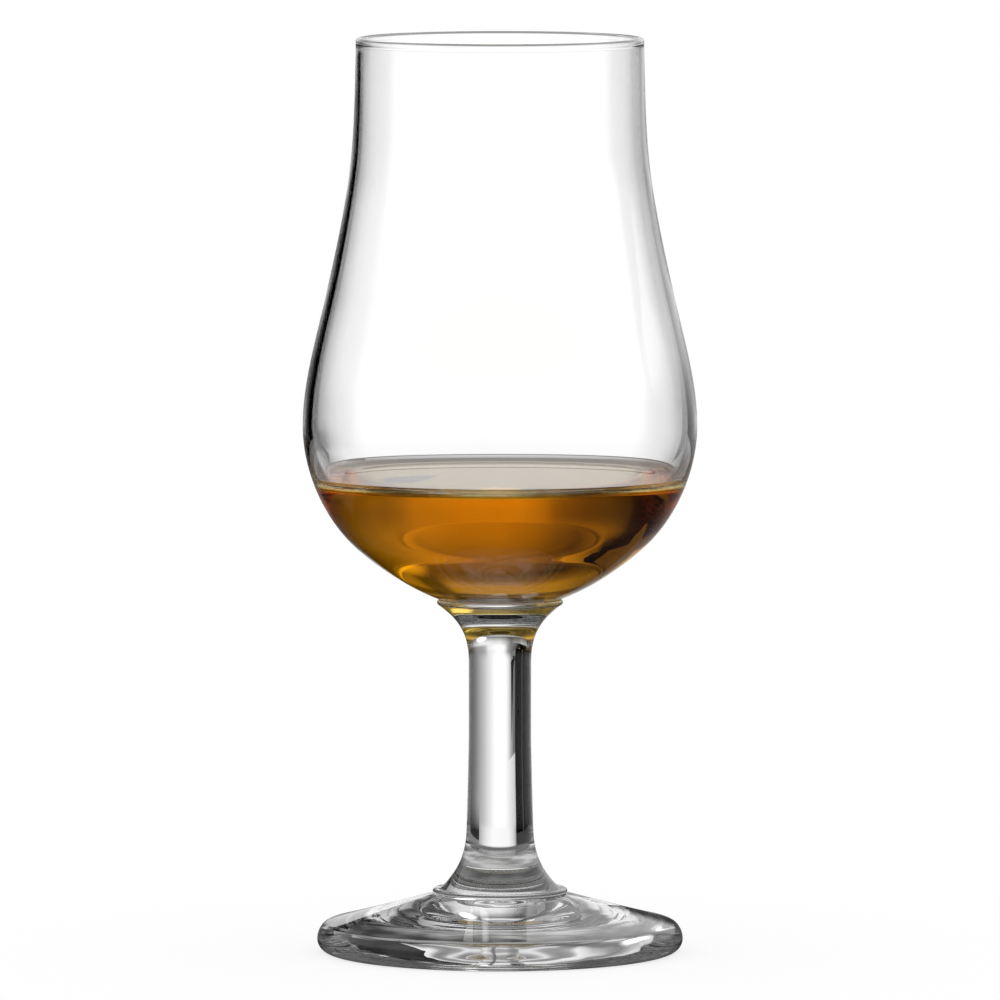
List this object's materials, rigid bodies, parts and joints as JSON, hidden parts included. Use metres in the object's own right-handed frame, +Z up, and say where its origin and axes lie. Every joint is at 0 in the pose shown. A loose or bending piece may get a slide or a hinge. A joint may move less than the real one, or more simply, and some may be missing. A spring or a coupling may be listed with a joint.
{
  "type": "whisky nosing glass",
  "caption": "Stemmed tulip nosing glass with a thick round foot, holding a poured measure of whisky.",
  "frame": {"origin": "centre of the foot's rest ring, on the surface that the glass stands on", "axes": "+Z up along the glass's axis of symmetry, from the foot to the rim; +X and +Y level"},
  "size_m": [0.0646, 0.0646, 0.15],
  "materials": {
    "clear_glass": "clear fire-polished soda-lime glass, smooth and colourless",
    "whisky": "clear amber liquid, level on top, clinging to the wall round its edge"
  },
  "bodies": {
    "root": {"bowl": "clear_glass", "stem": "clear_glass", "foot": "clear_glass", "whisky": "whisky"}
  },
  "joints": []
}
